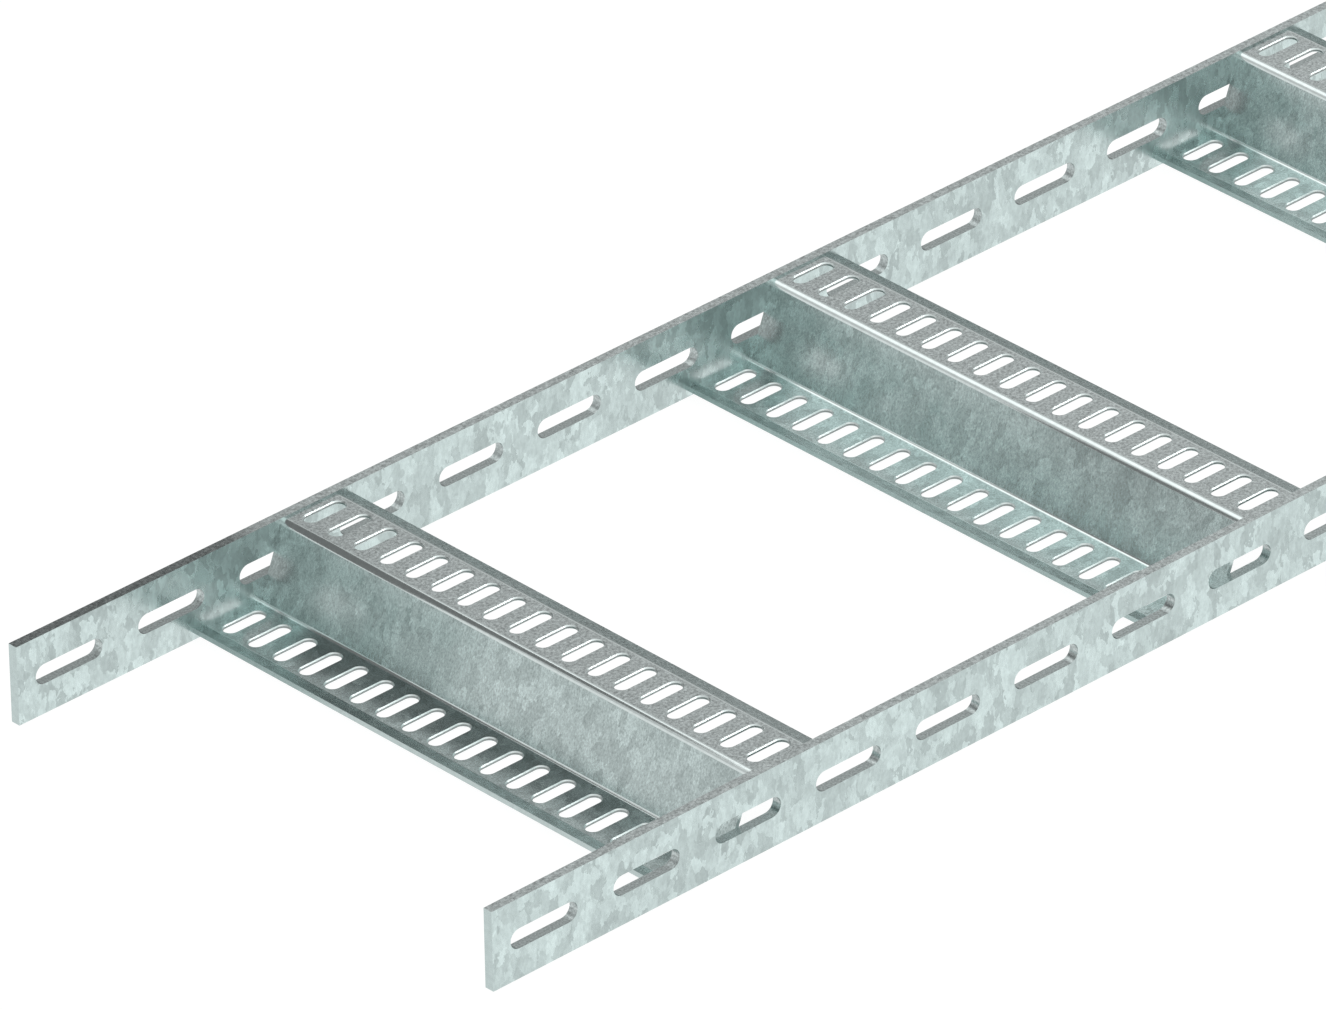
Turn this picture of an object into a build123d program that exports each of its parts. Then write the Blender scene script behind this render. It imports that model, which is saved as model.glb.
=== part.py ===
from build123d import *
import os
from math import cos, floor, pi, radians, sin, tan

# Driving dimensions, in millimetres and degrees

# Whole section: X runs along the rails, Y across them, Z up from the lower rail edges
inside_width = 300.0

# Side rails: hot-rolled flat bar stood on edge, with a row of slots along its middle
rail_height = 40.0
rail_thickness = 5.0
rail_slot_length = 39.0
rail_slot_width = 10.0
rail_slot_pitch = 60.0

# Rungs: steel strip bent to a leaning Z, with a stiffening lip along both free edges
rung_count = 10
rung_pitch = 300.0
rung_height = 38.0
sheet_thickness = 2.0
web_lean = 22.0
bend_inner_radius = 1.5
flange_reach = 39.0
lip_length = 10.5
lip_angle = 22.0

# Slots across both flanges of a rung, for cable ties and saddle clamps
rung_slot_length = 23.0
rung_slot_width = 7.0
rung_slot_pitch = 16.7
rung_slot_offset = 24.7

# Flat faces that stand for most of the 920 round slot ends, to keep the faces few
slot_end_flats = 2
# Slots of each rail that keep fully round ends for bolts, in each of its three groups
bolted_slots = 2

# Places that follow from the driving dimensions
ladder_length = rung_count * rung_pitch
mid_height = rail_height / 2
rail_centre = inside_width / 2 + rail_thickness / 2
flange_level = rung_height / 2 - sheet_thickness / 2
web_top = flange_level * tan(radians(web_lean))
mid_bend_radius = bend_inner_radius + sheet_thickness / 2


def spread(length, pitch, size):
    # Centres of as many equal features as fit in a length, even about its middle
    count = floor((length - size) / pitch) + 1
    first = -pitch * (count - 1) / 2
    return [first + pitch * number for number in range(count)]


def light_slot(length, width):
    # A round-ended slot, with each half circle taken up by a few flats
    turns = [pi * (number / slot_end_flats - 0.5) for number in range(slot_end_flats + 1)]
    reach = max(cos(turn) for turn in turns)
    straight = (length - width) / 2
    half = [Vector(straight + width / 2 * cos(turn) / reach, width / 2 * sin(turn)) for turn in turns]
    return Polygon(*half, *[-point for point in half])


def side_rail():
    # Joint plates bolt on at both ends of a rail, and brackets at its middle
    places = [(place, 0) for place in spread(ladder_length, rail_slot_pitch, rail_slot_length)]
    middle = (len(places) - bolted_slots) // 2
    bolted = places[:bolted_slots] + places[middle : middle + bolted_slots] + places[-bolted_slots:]
    others = [place for place in places if place not in bolted]
    with BuildPart() as rail:
        Box(ladder_length, rail_thickness, rail_height)
        with BuildSketch(Plane.XZ):
            with Locations(*bolted):
                SlotOverall(rail_slot_length, rail_slot_width)
            with Locations(*others):
                light_slot(rail_slot_length, rail_slot_width)
        extrude(amount=rail_thickness, both=True, mode=Mode.SUBTRACT)
    return rail.part


def rung_section():
    # The strip's middle line, from the tip of the lower lip up to the tip of the upper one
    lip_start = Vector(flange_reach, flange_level)
    lip_end = lip_start + Vector(lip_length, 0).rotate(Axis.Z, -lip_angle)
    upper = [Vector(web_top, flange_level), lip_start, lip_end]
    lower = [-point for point in reversed(upper)]
    # The web's bends are round, and the shallow bends of the lips are pressed nearly sharp
    middle = FilletPolyline(*lower, *upper, radius=[0, mid_bend_radius, mid_bend_radius, 0])
    # One skin on each side of the middle line, joined by square sheared edges
    skin = {"amount": sheet_thickness / 2, "kind": Kind.INTERSECTION, "closed": False}
    above = offset(middle, side=Side.LEFT, **skin)
    below = offset(middle, side=Side.RIGHT, **skin)
    tips = Line(above @ 0, below @ 1) + Line(above @ 1, below @ 0)
    return Plane.XZ * make_face(above + below + tips)


def rung():
    # The Z runs from rail to rail, so its ends butt against their inner faces
    section = rung_section()
    across = spread(inside_width, rung_slot_pitch, rung_slot_width)
    with BuildPart() as strip:
        extrude(section, amount=inside_width / 2, both=True)
        for side in (-1, 1):
            with BuildSketch(Plane.XY.offset(side * flange_level)):
                with Locations(*[(side * rung_slot_offset, place) for place in across]):
                    light_slot(rung_slot_length, rung_slot_width)
            extrude(amount=sheet_thickness, both=True, mode=Mode.SUBTRACT)
    return strip.part


os.makedirs("parts", exist_ok=True)

rail = side_rail()
export_step(Pos(0, rail_centre, mid_height) * rail, "parts/side_rail_left.step")
export_step(Pos(0, -rail_centre, mid_height) * rail, "parts/side_rail_right.step")

z_rung = rung()
for number in range(rung_count):
    along = rung_pitch * (number + 0.5) - ladder_length / 2
    export_step(Pos(along, 0, mid_height) * z_rung, f"parts/rung_{number + 1:02d}.step")
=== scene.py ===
from math import cos, pi, radians, sin, tan

import bmesh
import bpy
from mathutils import Matrix, Vector


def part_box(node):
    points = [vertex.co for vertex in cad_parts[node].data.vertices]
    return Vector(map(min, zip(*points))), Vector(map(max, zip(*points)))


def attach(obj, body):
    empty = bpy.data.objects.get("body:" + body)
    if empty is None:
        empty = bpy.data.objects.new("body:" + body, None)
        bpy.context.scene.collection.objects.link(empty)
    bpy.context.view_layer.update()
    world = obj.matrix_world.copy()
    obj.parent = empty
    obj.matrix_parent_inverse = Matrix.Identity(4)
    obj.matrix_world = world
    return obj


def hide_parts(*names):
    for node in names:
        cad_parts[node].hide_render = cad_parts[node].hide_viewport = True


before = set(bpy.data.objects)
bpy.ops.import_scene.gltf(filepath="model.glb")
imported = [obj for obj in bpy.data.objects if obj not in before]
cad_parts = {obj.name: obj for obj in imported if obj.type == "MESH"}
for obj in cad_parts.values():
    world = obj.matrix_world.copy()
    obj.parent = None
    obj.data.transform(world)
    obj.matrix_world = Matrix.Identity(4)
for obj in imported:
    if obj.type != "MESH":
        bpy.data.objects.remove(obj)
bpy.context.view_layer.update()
print("frame loaded,", len(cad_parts), "nodes")


sameSpot = 1e-6  # metres: closer than this is the same place
creaseAngle = 40.0  # degrees: sharper edges stay sharp


# A flat blank: points with the way that each one moves when the slots are chamfered, and faces

def newBlank():
    return {"points": [], "inward": [], "faces": [], "finish": [], "index": {}}


def addPoint(blank, u, v, inward=(0.0, 0.0)):
    key = (round(u, 6), round(v, 6))  # points on the same micrometre are one
    if key not in blank["index"]:
        blank["index"][key] = len(blank["points"])
        blank["points"].append((u, v))
        blank["inward"].append(inward)
    return blank["index"][key]


def between(start, end, steps):
    # steps + 1 evenly spaced values
    return [start + (end - start) * n / steps for n in range(steps + 1)]


def addSlotCell(blank, slot, cell, steps, finish):
    # a rectangle with one round-ended slot along u, at slot["u"], slot["v"]
    low, high, bottom, top = cell
    radius = slot["width"] / 2
    reach = slot["length"] / 2 - radius
    sideSteps, endSteps = steps
    ring, border = [], []
    for side, edge, first, last in ((1, high, bottom, top), (-1, low, top, bottom)):
        centre = slot["u"] + side * reach
        turn = 0.0 if side > 0 else pi
        angles = between(-pi / 2, -pi / 4, sideSteps) + between(-pi / 4, pi / 4, endSteps)[1:]
        angles += between(pi / 4, pi / 2, sideSteps)[1:]
        for angle in angles:
            way = (cos(angle + turn), sin(angle + turn))
            point = (centre + radius * way[0], slot["v"] + radius * way[1])
            ring.append(addPoint(blank, *point, inward=way))
        for u in between(centre, edge, sideSteps):
            border.append(addPoint(blank, u, first))
        for v in between(first, last, endSteps)[1:]:
            border.append(addPoint(blank, edge, v))
        for u in between(edge, centre, sideSteps)[1:]:
            border.append(addPoint(blank, u, last))
    count = len(ring)
    for n in range(count):
        after = (n + 1) % count
        blank["faces"].append((ring[n], border[n], border[after], ring[after]))
        blank["finish"].append(finish)


def addGrid(blank, columns, rows, finish):
    for left, right in zip(columns, columns[1:]):
        for low, high in zip(rows, rows[1:]):
            corners = ((left, low), (right, low), (right, high), (left, high))
            blank["faces"].append(tuple(addPoint(blank, u, v) for u, v in corners))
            blank["finish"].append(finish)


def faceEdges(face):
    return list(zip(face, face[1:] + face[:1]))


def punchedPlate(name, blank, thickness, chamfer, place, finish):
    # both sides of the blank, joined by walls, with the slots chamfered if asked
    us = [u for u, v in blank["points"]]
    vs = [v for u, v in blank["points"]]
    lowU, highU, lowV, highV = min(us), max(us), min(vs), max(vs)
    kinds = []  # where each point lies, for the walls
    for u, v in blank["points"]:
        atEnd = min(u - lowU, highU - u) < sameSpot
        atSide = min(v - lowV, highV - v) < sameSpot
        kinds.append({kind for kind, here in (("end", atEnd), ("side", atSide)) if here} or {"slot"})
    half = thickness / 2
    layers = [(0, half), (0, -half)]
    if chamfer:
        layers = [(chamfer, half), (0, half - chamfer), (0, chamfer - half), (chamfer, -half)]
    edges = [edge for face in blank["faces"] for edge in faceEdges(face)]
    known = set(edges)
    rim = [(a, b) for a, b in edges if (b, a) not in known]
    rimPoints = sorted({n for edge in rim for n in edge})
    shape = bmesh.new()
    made = []
    for number, (inset, height) in enumerate(layers):
        whole = number in (0, len(layers) - 1)
        row = {}
        for n in (range(len(us)) if whole else rimPoints):
            u = blank["points"][n][0] + inset * blank["inward"][n][0]
            v = blank["points"][n][1] + inset * blank["inward"][n][1]
            row[n] = shape.verts.new(place(u, v, height))
        made.append(row)
    for face, part in zip(blank["faces"], blank["finish"]):
        shape.faces.new([made[0][n] for n in face]).material_index = finish[part]
        shape.faces.new([made[-1][n] for n in reversed(face)]).material_index = finish[part]
    for a, b in rim:
        kind = sorted(kinds[a] & kinds[b])[0]
        for number, (upper, lower) in enumerate(zip(made, made[1:])):
            wall = shape.faces.new((upper[b], upper[a], lower[a], lower[b]))
            # the chamfers of the slots take the slot rim finish, whose lighter colour is a painted highlight
            part = "slotEdge" if kind == "slot" and chamfer and number != 1 else kind
            wall.material_index = finish[part]
    bmesh.ops.recalc_face_normals(shape, faces=shape.faces)
    for face in shape.faces:
        face.smooth = True
    for edge in shape.edges:
        edge.smooth = edge.calc_face_angle() < radians(creaseAngle)
    mesh = bpy.data.meshes.new(name)
    shape.to_mesh(mesh)
    shape.free()
    return mesh


def addPiece(name, mesh, materials, node):
    piece = bpy.data.objects.new(name, mesh)
    bpy.context.scene.collection.objects.link(piece)
    for material in materials:
        mesh.materials.append(material)
    shading = piece.modifiers.new("flat faces stay flat", "WEIGHTED_NORMAL")
    shading.keep_sharp = True
    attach(piece, "root")
    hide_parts(node)


# Materials

def newMaterial(name):
    material = bpy.data.materials.new(name)
    material.use_nodes = True
    return material, material.node_tree, material.node_tree.nodes["Principled BSDF"]


def addNode(tree, kind, place, **settings):
    node = tree.nodes.new(kind)
    node.location = place
    for key, value in settings.items():
        setattr(node, key, value)
    return node


def scaledPlace(tree, scale, x):
    # coordinates of the whole ladder, stretched
    spot = addNode(tree, "ShaderNodeTexCoord", (x, 0))
    mapping = addNode(tree, "ShaderNodeMapping", (x + 200, 0))
    mapping.inputs["Scale"].default_value = scale
    tree.links.new(spot.outputs["Object"], mapping.inputs["Vector"])
    return mapping.outputs["Vector"]


def noise(tree, vector, scale, detail, place, roughness=0.5, distortion=0.0):
    node = addNode(tree, "ShaderNodeTexNoise", place)
    node.inputs["Scale"].default_value = scale
    node.inputs["Detail"].default_value = detail
    node.inputs["Roughness"].default_value = roughness
    node.inputs["Distortion"].default_value = distortion
    tree.links.new(vector, node.inputs["Vector"])
    return node.outputs["Fac"]


def toRange(tree, value, span, newSpan, place):
    node = addNode(tree, "ShaderNodeMapRange", place)
    for key, number in zip(("From Min", "From Max", "To Min", "To Max"), span + newSpan):
        node.inputs[key].default_value = number
    tree.links.new(value, node.inputs["Value"])
    return node.outputs["Result"]


def shareRange(tree, value, span, depth, place):
    # the value spread evenly about one, by depth in all
    return toRange(tree, value, span, (1 - depth / 2, 1 + depth / 2), place)


def mathNode(tree, operation, a, b, place):
    node = addNode(tree, "ShaderNodeMath", place, operation=operation)
    for socket, value in zip(node.inputs, (a, b)):
        if isinstance(value, (int, float)):
            socket.default_value = value
        else:
            tree.links.new(value, socket)
    return node.outputs[0]


def tinted(tree, colour, amount, place):
    # the zinc's own colour, made lighter or darker by amount
    node = addNode(tree, "ShaderNodeVectorMath", place, operation="SCALE")
    node.inputs[0].default_value = colour
    tree.links.new(amount, node.inputs["Scale"])
    return node.outputs["Vector"]


zincSet = {
    "colour": (0.58, 0.68, 0.67),
    "dullColour": (0.605, 0.665, 0.66),
    # lighter than the zinc, on bends and slot rims: painted highlight
    "paintedHighlightColour": (0.87, 0.96, 0.95),
    # darker, on the rail slot walls: painted shade
    "slotShadeColour": (0.50, 0.56, 0.555),
    # much darker, on the rung slot walls: painted shade
    "shadedColour": (0.29, 0.325, 0.32),
    "edgeColour": (0.68, 0.79, 0.78),
    "spangleWidth": 0.0050,  # metres across one crystal patch
    "spangleHeight": 0.0090,
    "spangleDepth": 0.36,  # lightest to darkest patch, as a share
    "spangleWander": 1.0,  # how far patch edges stray, in patch widths
    "spangleWobbles": 1.1,  # how often they stray, in each patch width
    "featherSize": 0.0022,
    "featherDepth": 0.20,
    "mottleSize": 0.020,
    "mottleDepth": 0.08,
    "cloudsPerMottle": 1.4,  # finer clouds on the dull faces
    "grainSize": 0.0014,
    "grainDepth": 0.95,
    "grainsOnSpangle": 1.6,  # finer grain on the spangled faces
    "grainStrength": 0.2,
    "grainHeight": 0.00008,
}
noiseSpan = (0.3, 0.7)  # between these lies nearly all of a noise
grainSpan = (0.25, 0.75)  # and of the rougher noise of the grain


def spangledZinc(name, roughness, contrast, grainDepth):
    # hot-dip zinc: tall soft crystal patches with feathered edges
    material, tree, shader = newMaterial(name)
    s = zincSet
    place = scaledPlace(tree, (1, 1, s["spangleWidth"] / s["spangleHeight"]), -2200)
    wobble = addNode(tree, "ShaderNodeTexNoise", (-1600, 300))
    wobble.inputs["Scale"].default_value = s["spangleWobbles"] / s["spangleWidth"]
    wobble.inputs["Detail"].default_value = 3
    wobble.inputs["Roughness"].default_value = 0.6
    tree.links.new(place, wobble.inputs["Vector"])
    shifted = addNode(tree, "ShaderNodeMixRGB", (-1300, 300), blend_type="LINEAR_LIGHT")
    shifted.inputs["Fac"].default_value = s["spangleWidth"] * s["spangleWander"]
    tree.links.new(place, shifted.inputs["Color1"])
    tree.links.new(wobble.outputs["Color"], shifted.inputs["Color2"])
    cells = addNode(tree, "ShaderNodeTexVoronoi", (-1100, 300))
    cells.inputs["Scale"].default_value = 1 / s["spangleWidth"]
    tree.links.new(shifted.outputs["Color"], cells.inputs["Vector"])
    split = addNode(tree, "ShaderNodeSeparateColor", (-900, 300))
    tree.links.new(cells.outputs["Color"], split.inputs["Color"])
    patch = shareRange(tree, split.outputs["Red"], (0, 1), contrast * s["spangleDepth"], (-700, 300))
    feather = noise(tree, place, 1 / s["featherSize"], 3, (-1100, 0), roughness=0.65)
    feathered = shareRange(tree, feather, noiseSpan, contrast * s["featherDepth"], (-700, 0))
    cloud = noise(tree, place, 1 / s["mottleSize"], 2, (-1100, -300))
    mottle = shareRange(tree, cloud, noiseSpan, s["mottleDepth"], (-700, -300))
    grain = noise(tree, place, s["grainsOnSpangle"] / s["grainSize"], 2, (-1100, -600), roughness=0.7)
    fine = shareRange(tree, grain, grainSpan, grainDepth, (-700, -600))
    amount = mathNode(tree, "MULTIPLY", patch, feathered, (-500, 100))
    amount = mathNode(tree, "MULTIPLY", amount, mottle, (-400, 0))
    amount = mathNode(tree, "MULTIPLY", amount, fine, (-300, -100))
    tree.links.new(tinted(tree, s["colour"], amount, (-200, 100)), shader.inputs["Base Color"])
    shader.inputs["Metallic"].default_value = 1.0
    rough = toRange(tree, split.outputs["Green"], (0, 1), (roughness - 0.04, roughness + 0.05), (-500, -400))
    tree.links.new(rough, shader.inputs["Roughness"])
    return material


def grainyZinc(name, roughness, mottleDepth):
    # sheared edges and upward faces: fine dull grain with faint clouds
    material, tree, shader = newMaterial(name)
    s = zincSet
    place = scaledPlace(tree, (1, 1, 1), -1800)
    grain = noise(tree, place, 1 / s["grainSize"], 2, (-1000, 200), roughness=0.7)
    fine = shareRange(tree, grain, grainSpan, s["grainDepth"], (-700, 200))
    cloudScale = 1 / s["mottleSize"] * s["cloudsPerMottle"]
    cloud = noise(tree, place, cloudScale, 4, (-1000, -100), distortion=0.6)
    soft = shareRange(tree, cloud, noiseSpan, mottleDepth, (-700, -100))
    amount = mathNode(tree, "MULTIPLY", fine, soft, (-400, 100))
    tree.links.new(tinted(tree, s["dullColour"], amount, (-200, 100)), shader.inputs["Base Color"])
    shader.inputs["Metallic"].default_value = 1.0
    rough = toRange(tree, grain, noiseSpan, (roughness - 0.05, roughness + 0.07), (-400, -200))
    tree.links.new(rough, shader.inputs["Roughness"])
    bump = addNode(tree, "ShaderNodeBump", (-200, -300))
    bump.inputs["Strength"].default_value = s["grainStrength"]
    bump.inputs["Distance"].default_value = s["grainHeight"]
    tree.links.new(grain, bump.inputs["Height"])
    tree.links.new(bump.outputs["Normal"], shader.inputs["Normal"])
    return material


def cutZinc(name, colour, roughness, depth=0.10, size=0.0025):
    # zinc run smooth over punched and sawn edges and bends, with clouds of this depth and size; the lighter
    # colour given to bends and slot rims is painted highlight, the darker colours given to slot walls are
    # painted shade
    material, tree, shader = newMaterial(name)
    cloud = noise(tree, scaledPlace(tree, (1, 1, 1), -1400), 1 / size, 2, (-800, 0))
    amount = shareRange(tree, cloud, noiseSpan, depth, (-500, 0))
    tree.links.new(tinted(tree, colour, amount, (-200, 100)), shader.inputs["Base Color"])
    shader.inputs["Metallic"].default_value = 1.0
    shader.inputs["Roughness"].default_value = roughness
    return material


barFace = spangledZinc("galvanised bar face", roughness=0.28, contrast=1.0, grainDepth=0.10)
stripWeb = spangledZinc("galvanised strip web", roughness=0.22, contrast=0.85, grainDepth=0.60)
barEdge = grainyZinc("galvanised bar edge", roughness=0.24, mottleDepth=0.06)
stripFlange = grainyZinc("galvanised strip flange", roughness=0.26, mottleDepth=0.08)
cutEnd = cutZinc("galvanised cut end", zincSet["colour"], roughness=0.24)
# darker than the zinc inside the rail slots: painted shade; the deep clouds are grain
slotWallShade = cutZinc("galvanised slot wall painted shade", zincSet["slotShadeColour"], roughness=0.24, depth=0.55, size=0.0010)
# lighter than the zinc along every bend: a painted highlight
stripBendHighlight = cutZinc("galvanised strip bend painted highlight", zincSet["paintedHighlightColour"], roughness=0.16)
# lighter than the zinc on the slot chamfers: a painted highlight, besides the key lamp's real one
slotRimHighlight = cutZinc("galvanised slot rim painted highlight", zincSet["paintedHighlightColour"], roughness=0.36)
stripEdge = cutZinc("galvanised strip edge", zincSet["edgeColour"], roughness=0.24)
# much darker than the zinc on the rung slot walls: painted shade
stripSlotShade = cutZinc("galvanised strip slot wall painted shade", zincSet["shadedColour"],
                    roughness=0.28, depth=0.30, size=0.0010)
print("materials made")


# Side rails: slotted flat bar on edge

railSet = {
    "slotLength": 0.039,
    "slotWidth": 0.010,
    "slotPitch": 0.060,
    "steps": (3, 8),  # facets beside and across each round slot end
    "finish": {"face": 0, "side": 1, "end": 2, "slot": 3},
}


def makeRail(node):
    r = railSet
    low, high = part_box(node)
    middle = (low + high) / 2
    length, thickness, height = high - low
    halfPitch = r["slotPitch"] / 2
    blank = newBlank()
    for n in range(round(length / r["slotPitch"])):
        u = (n + 0.5) * r["slotPitch"] - length / 2
        slot = {"u": u, "v": 0.0, "length": r["slotLength"], "width": r["slotWidth"]}
        cell = (u - halfPitch, u + halfPitch, -height / 2, height / 2)
        addSlotCell(blank, slot, cell, r["steps"], "face")

    def place(u, v, w):
        return middle + Vector((u, w, v))

    mesh = punchedPlate(node + "_bar", blank, thickness, 0, place, r["finish"])
    addPiece(node + "_bar", mesh, (barFace, barEdge, cutEnd, slotWallShade), node)


makeRail("side_rail_left")
makeRail("side_rail_right")
print("side rails made")


# Rungs: one flat punched strip, bent along its length to the leaning Z

rungSet = {
    "flangeReach": 0.039,  # from the middle of the section to the lip's bend
    "halfHeight": 0.018,  # from the middle of the section to the middle of a flange
    "webLean": 22.0,
    "lipLength": 0.0105,
    "lipAngle": 22.0,
    "bendRadius": 0.0025,  # to the middle of the sheet
    "sheet": 0.002,
    "slotLength": 0.023,
    "slotWidth": 0.007,
    "slotPitch": 0.0167,
    "slotOffset": 0.0247,  # from the middle of the section to the middle of a slot
    "chamfer": 0.00055,
    "steps": (3, 6),
    "bendSteps": {"lipBend": 3, "webBend": 8},
    "finish": {"web": 0, "flange": 1, "side": 2, "end": 2, "bend": 3, "slot": 4, "slotEdge": 5},
}


def tangent(turnAngle):
    # how much a bend takes from the straight on each side of its corner
    return rungSet["bendRadius"] * tan(radians(turnAngle) / 2)


def rungPath():
    # straights and turns of the section, from the near lip's edge to the far lip's edge
    r = rungSet
    turn = 90 - r["webLean"]
    corner = r["halfHeight"] * tan(radians(r["webLean"]))
    lip = r["lipLength"] - tangent(r["lipAngle"])
    flange = r["flangeReach"] - corner - tangent(r["lipAngle"]) - tangent(turn)
    web = 2 * r["halfHeight"] / cos(radians(r["webLean"])) - 2 * tangent(turn)
    # the lower half and the web are spangled like a web, the upper half is grainy
    return [("lip", lip, 0, "web"), ("lipBend", 0, r["lipAngle"], "bend"), ("flange", flange, 0, "web"),
            ("webBend", 0, turn, "bend"), ("web", web, 0, "web"), ("webBend", 0, -turn, "bend"),
            ("flange", flange, 0, "flange"), ("lipBend", 0, -r["lipAngle"], "bend"),
            ("lip", lip, 0, "flange")]


def walkPath():
    # each stretch with its start, heading and length along the strip
    x = z = along = 0.0
    heading = -radians(rungSet["lipAngle"])
    stretches = []
    for kind, length, angle, finish in rungPath():
        angle = radians(angle)
        size = length or abs(angle) * rungSet["bendRadius"]
        stretches.append({"kind": kind, "x": x, "z": z, "heading": heading, "turn": angle,
                          "from": along, "length": size, "finish": finish})
        if angle:
            side = rungSet["bendRadius"] * (1 if angle > 0 else -1)
            x += side * (sin(heading + angle) - sin(heading))
            z += side * (cos(heading) - cos(heading + angle))
            heading += angle
        else:
            x += size * cos(heading)
            z += size * sin(heading)
        along += size
    return stretches, x, z


def onPath(stretches, s, w):
    # the point of the bent strip that lies s along the blank and w above its middle
    stretch = stretches[0]
    for candidate in stretches:
        if s >= candidate["from"] - sameSpot:
            stretch = candidate
    x, z, heading = stretch["x"], stretch["z"], stretch["heading"]
    part = s - stretch["from"]
    if stretch["turn"]:
        side = rungSet["bendRadius"] * (1 if stretch["turn"] > 0 else -1)
        turned = heading + part / side
        x += side * (sin(turned) - sin(heading))
        z += side * (cos(heading) - cos(turned))
        heading = turned
    else:
        x += part * cos(heading)
        z += part * sin(heading)
    return x - w * sin(heading), z + w * cos(heading)


def rungBlank(stretches, width):
    blank = newBlank()
    r = rungSet
    slots = round(width / r["slotPitch"])
    endSteps = r["steps"][1]
    # places across the strip where one slot's cell ends and the next begins
    joints = [(n - slots / 2) * r["slotPitch"] for n in range(slots + 1)]
    joints[0], joints[-1] = -width / 2, width / 2
    rows = [joints[0]]
    for low, high in zip(joints, joints[1:]):
        rows += between(low, high, endSteps)[1:]
    # from the lip's bend to the middle of each slot
    inset = r["flangeReach"] - tangent(r["lipAngle"]) - r["slotOffset"]
    for number, stretch in enumerate(stretches):
        start, end = stretch["from"], stretch["from"] + stretch["length"]
        if stretch["kind"] == "flange":
            u = start + inset if number < len(stretches) / 2 else end - inset
            for n in range(slots):
                v = (n + 0.5 - slots / 2) * r["slotPitch"]
                slot = {"u": u, "v": v, "length": r["slotLength"], "width": r["slotWidth"]}
                cell = (start, end, joints[n], joints[n + 1])
                addSlotCell(blank, slot, cell, r["steps"], stretch["finish"])
        else:
            parts = r["bendSteps"].get(stretch["kind"], 1)
            addGrid(blank, between(start, end, parts), rows, stretch["finish"])
    return blank


stretches, farX, farZ = walkPath()


def makeRung(node):
    r = rungSet
    low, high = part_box(node)
    middle = (low + high) / 2
    blank = rungBlank(stretches, high.y - low.y)

    def place(u, v, w):
        x, z = onPath(stretches, u, w)
        return middle + Vector((x - farX / 2, v, z - farZ / 2))

    mesh = punchedPlate(node + "_strip", blank, r["sheet"], r["chamfer"], place, r["finish"])
    materials = (stripWeb, stripFlange, stripEdge, stripBendHighlight, stripSlotShade, slotRimHighlight)
    addPiece(node + "_strip", mesh, materials, node)


rungNodes = sorted(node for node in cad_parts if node.startswith("rung"))
for node in rungNodes:
    makeRung(node)
print("rungs made")


# Pale floor

floorSet = {"halfSize": 40.0, "glow": 0.93, "colour": 0.16}


def glowingGrey(name, colour, glow):
    # a matt grey that also gives off white light
    material, tree, shader = newMaterial(name)
    shader.inputs["Base Color"].default_value = (colour, colour, colour, 1)
    shader.inputs["Roughness"].default_value = 1.0
    shader.inputs["Specular IOR Level"].default_value = 0.0
    shader.inputs["Emission Color"].default_value = (1, 1, 1, 1)
    shader.inputs["Emission Strength"].default_value = glow
    return material


def addPanel(name, corners, material):
    # one flat face of the studio that throws no shadow and adds no stray light
    mesh = bpy.data.meshes.new(name)
    mesh.from_pydata(corners, [], [tuple(range(len(corners)))])
    mesh.materials.append(material)
    panel = bpy.data.objects.new(name, mesh)
    bpy.context.scene.collection.objects.link(panel)
    panel.visible_diffuse = False
    panel.visible_shadow = False
    return panel


def makeFloor():
    half = floorSet["halfSize"]
    corners = [(-half, -half, 0), (half, -half, 0), (half, half, 0), (-half, half, 0)]
    floor = addPanel("floor", corners, glowingGrey("pale floor", floorSet["colour"], floorSet["glow"]))
    floor.visible_glossy = False


makeFloor()


# Soft studio light all round: a level for each height, and soft boxes by direction

studioSet = {
    # height of a direction, from -1 straight down to 1 straight up, and its brightness
    "levels": [(-0.45, 0.84), (-0.12, 0.31), (0.10, 0.29), (0.55, 0.49), (1.0, 0.75)],
    # each box fades in from the cosine named spread to its strength straight towards it
    "boxes": [
        {"towards": (0.02, 0.63, 0.77), "spread": 0.90, "strength": 0.46},
        {"towards": (-0.80, 0.60, 0.02), "spread": 0.82, "strength": 0.42},
        {"towards": (0.58, -0.63, -0.52), "spread": 0.60, "strength": 0.14},
        {"towards": (0.10, -0.70, 0.70), "spread": 0.80, "strength": 0.35},
        {"towards": (-0.78, -0.62, 0.04), "spread": 0.80, "strength": 0.32},
        {"towards": (0.78, 0.36, 0.51), "spread": 0.93, "strength": 0.45},
    ],
    "key": {"towards": (0.58, -0.51, 0.63), "width": 20.0, "strength": 0.20},
    # the dark card and the grey flags are painted shade, seen only in reflections
    "cardPlane": 0.200,  # y of the dark card, just behind one side rail
    # its corners, as x and z
    "cardCorners": [(-1.500, 0.068), (-1.335, 0.068), (-1.285, 0.115), (-1.285, 0.450), (-1.500, 0.450)],
    "cardLevel": 0.15,
    "flagPlane": 0.1555,  # y of the grey flags, one behind the rail slot at each rung
    "flagLevel": 0.45,
}


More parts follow.
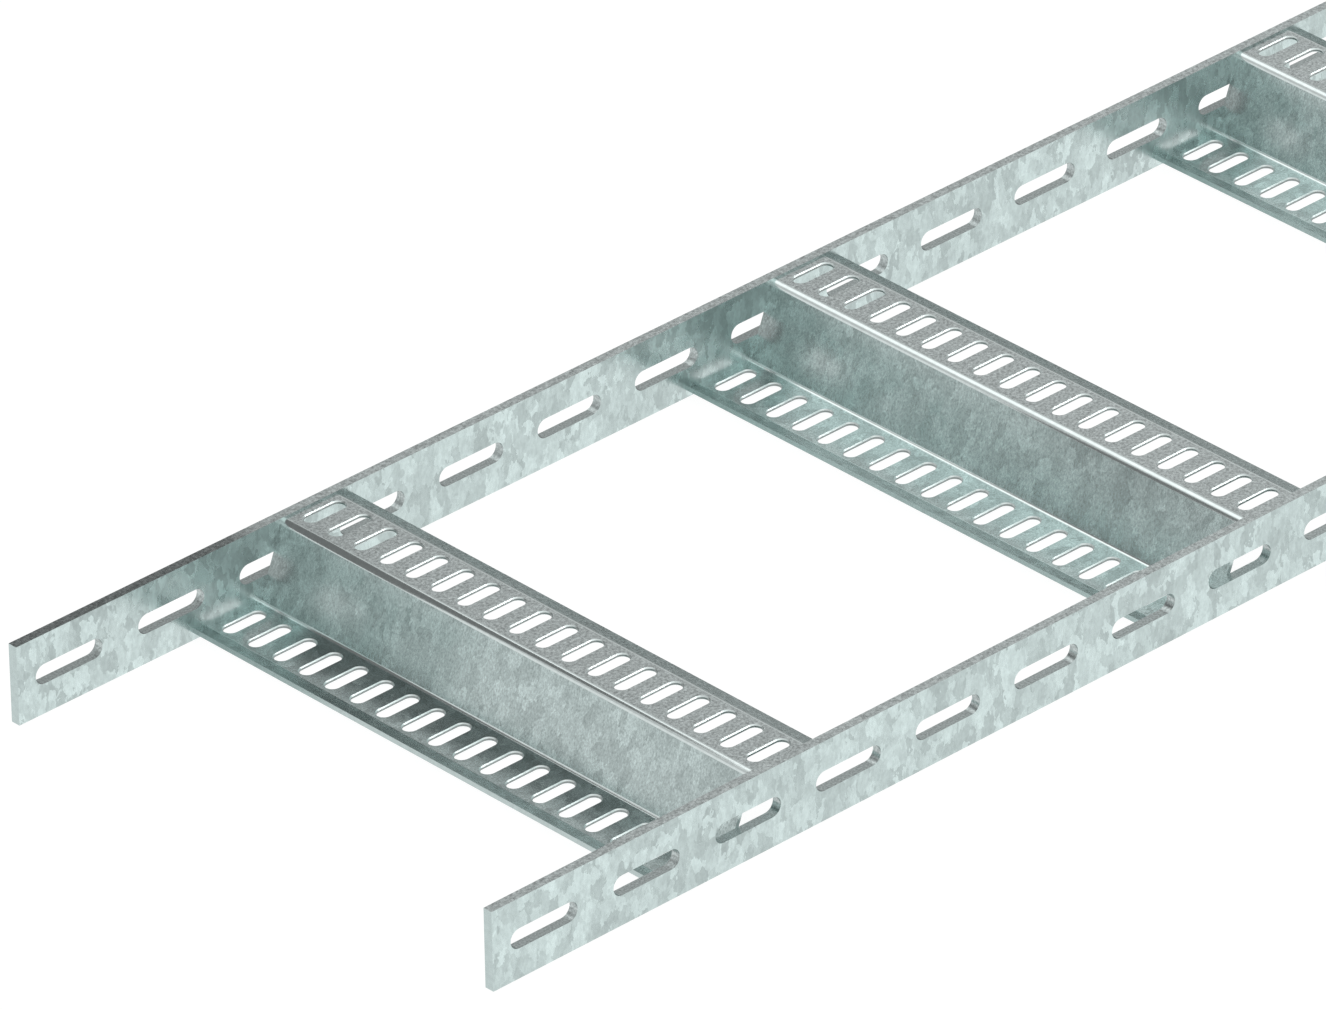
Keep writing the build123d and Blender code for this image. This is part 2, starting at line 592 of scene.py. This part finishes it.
def makeStudio():
    world = bpy.data.worlds.new("studio")
    bpy.context.scene.world = world
    world.use_nodes = True
    tree = world.node_tree
    background = tree.nodes["Background"]
    spot = addNode(tree, "ShaderNodeTexCoord", (-1400, 0))
    split = addNode(tree, "ShaderNodeSeparateXYZ", (-1200, 200))
    tree.links.new(spot.outputs["Generated"], split.inputs["Vector"])
    height = toRange(tree, split.outputs["Z"], (-1, 1), (0, 1), (-1000, 200))
    ramp = addNode(tree, "ShaderNodeValToRGB", (-800, 200))
    levels = studioSet["levels"]
    while len(ramp.color_ramp.elements) < len(levels):
        ramp.color_ramp.elements.new(0.5)
    for element, (z, level) in zip(ramp.color_ramp.elements, levels):
        element.position = (z + 1) / 2
        element.color = (level, level, level, 1)
    ramp.color_ramp.interpolation = "EASE"
    tree.links.new(height, ramp.inputs["Fac"])
    total = ramp.outputs["Color"]
    for n, box in enumerate(studioSet["boxes"]):
        dot = addNode(tree, "ShaderNodeVectorMath", (-1000, -200 * n), operation="DOT_PRODUCT")
        dot.inputs[1].default_value = Vector(box["towards"]).normalized()
        tree.links.new(spot.outputs["Generated"], dot.inputs[0])
        glow = addNode(tree, "ShaderNodeMapRange", (-800, -200 * n), interpolation_type="SMOOTHERSTEP")
        glow.inputs["From Min"].default_value = box["spread"]
        glow.inputs["From Max"].default_value = 1.0
        glow.inputs["To Max"].default_value = box["strength"]
        tree.links.new(dot.outputs["Value"], glow.inputs["Value"])
        total = mathNode(tree, "ADD", total, glow.outputs["Result"], (-400, -200 * n))
    tree.links.new(total, background.inputs["Color"])


def makeKeyLight():
    # one lamp that draws the bright line along the edge of each slot, on what is seen directly, over the
    # slot rims' painted highlight
    key = studioSet["key"]
    data = bpy.data.lights.new("key light", "SUN")
    data.angle = radians(key["width"])
    data.energy = key["strength"]
    data.cycles.max_bounces = 0
    data.cycles.use_multiple_importance_sampling = False
    lamp = bpy.data.objects.new("key light", data)
    lamp.rotation_euler = Vector(key["towards"]).to_track_quat("Z", "Y").to_euler()
    lamp.visible_diffuse = False
    bpy.context.scene.collection.objects.link(lamp)


def addCard(name, plane, corners, material):
    # seen by reflections only, as a studio uses cards to give metal its dark tones
    card = addPanel(name, [(x, plane, z) for x, z in corners], material)
    card.visible_camera = False


def makeCards():
    # one dark card behind a corner of the ladder, and a grey flag at each rung's slot in that rail: painted
    # shade, seen only in reflections, darkening that corner and the corners where the rungs meet that rail
    dark = glowingGrey("dark card", 0, studioSet["cardLevel"])
    addCard("dark card", studioSet["cardPlane"], studioSet["cardCorners"], dark)
    grey = glowingGrey("grey flag", 0, studioSet["flagLevel"])
    reach, half = railSet["slotLength"] / 2, railSet["slotWidth"] / 2
    for node in rungNodes:
        low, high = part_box(node)
        middle = (low + high) / 2
        corners = [(middle.x + side * reach, middle.z + up * half)
                   for side, up in ((-1, -1), (1, -1), (1, 1), (-1, 1))]
        addCard("grey flag " + node, studioSet["flagPlane"], corners, grey)


makeStudio()
makeKeyLight()
makeCards()


# Camera: the photograph's own view, found from the straight edges of the ladder

cameraSet = {
    "place": (-5.178947, -4.233364, 3.501819),
    "heading": 42.8442,  # degrees from +Y towards +X
    "down": 30.7146,
    "roll": -1.0735,
    "lens": 415.924,
    "sensor": 36.0,
}


def makeCamera():
    data = bpy.data.cameras.new("camera")
    data.lens = cameraSet["lens"]
    data.sensor_width = cameraSet["sensor"]
    data.clip_end = 200
    camera = bpy.data.objects.new("camera", data)
    bpy.context.scene.collection.objects.link(camera)
    turn = Matrix.Rotation(radians(-cameraSet["heading"]), 4, "Z")
    turn @= Matrix.Rotation(radians(90 - cameraSet["down"]), 4, "X")
    turn @= Matrix.Rotation(radians(cameraSet["roll"]), 4, "Z")
    camera.matrix_world = Matrix.Translation(cameraSet["place"]) @ turn
    bpy.context.scene.camera = camera


makeCamera()
bpy.context.scene.view_settings.view_transform = "Standard"
print("studio and camera made")
